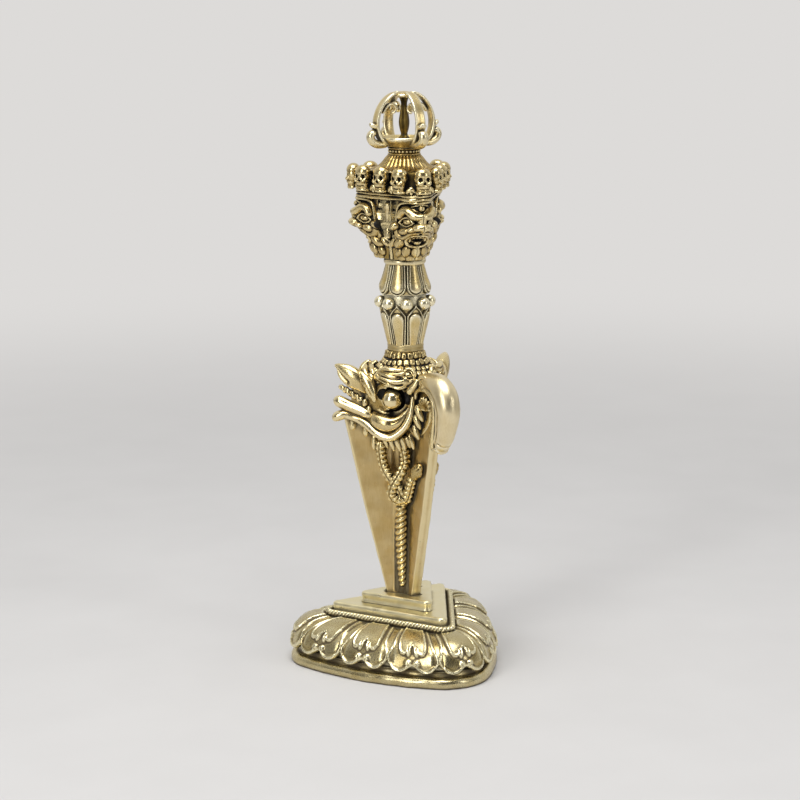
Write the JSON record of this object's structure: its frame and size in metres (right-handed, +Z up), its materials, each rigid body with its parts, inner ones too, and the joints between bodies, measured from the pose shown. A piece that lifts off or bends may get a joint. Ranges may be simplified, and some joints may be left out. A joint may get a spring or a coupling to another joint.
{
  "type": "ritual dagger on stand",
  "caption": "Three-bladed ritual dagger with a water-monster head, petal grip, three faces, skull crown and half vajra, lifting out of a three-cornered lotus stand",
  "frame": {"origin": "on the table, at the middle of the stand's flat underside, under the blade's axis", "axes": "+Z up along the blade's axis, -Y towards the vane that carries the trunk, +X to the right seen from the trunk's side"},
  "size_m": [0.0458, 0.0446, 0.1201],
  "materials": {
    "antiqued_brass": "cast brass, darkened in the recesses and rubbed bright on the high spots",
    "brushed_brass": "brass filed and brushed to a satin sheen",
    "stand_brass": "cast brass, satin, with worn bright edges and brown recesses"
  },
  "bodies": {
    "stand": {"foot_plate": "stand_brass", "lotus_course": "stand_brass", "twisted_wire": "stand_brass", "lower_step": "stand_brass", "upper_step": "stand_brass"},
    "phurba": {"blade": "brushed_brass", "serpents_left": "antiqued_brass", "serpents_right": "antiqued_brass", "serpents_back": "antiqued_brass", "makara_head": "antiqued_brass", "makara_trunk": "brushed_brass", "makara_eyes": "antiqued_brass", "makara_ears": "antiqued_brass", "makara_lips": "antiqued_brass", "makara_teeth": "antiqued_brass", "scaled_neck": "antiqued_brass", "filed_ring": "antiqued_brass", "lower_grip": "antiqued_brass", "bead_ring": "antiqued_brass", "upper_grip": "antiqued_brass", "chin_ring": "antiqued_brass", "head_core": "antiqued_brass", "front_face": "antiqued_brass", "left_face": "antiqued_brass", "right_face": "antiqued_brass", "bone_rods": "antiqued_brass", "crown_band": "antiqued_brass", "crown_cup": "antiqued_brass", "skulls": "antiqued_brass", "hair_cone": "antiqued_brass", "vajra_collar": "antiqued_brass", "vajra_prongs": "antiqued_brass", "vajra_core": "antiqued_brass"}
  },
  "joints": [
    {"name": "phurba_lift", "type": "slide", "parent": "stand", "child": "phurba", "axis": [0, 0, 1], "range_m": [0, 0.02]}
  ]
}
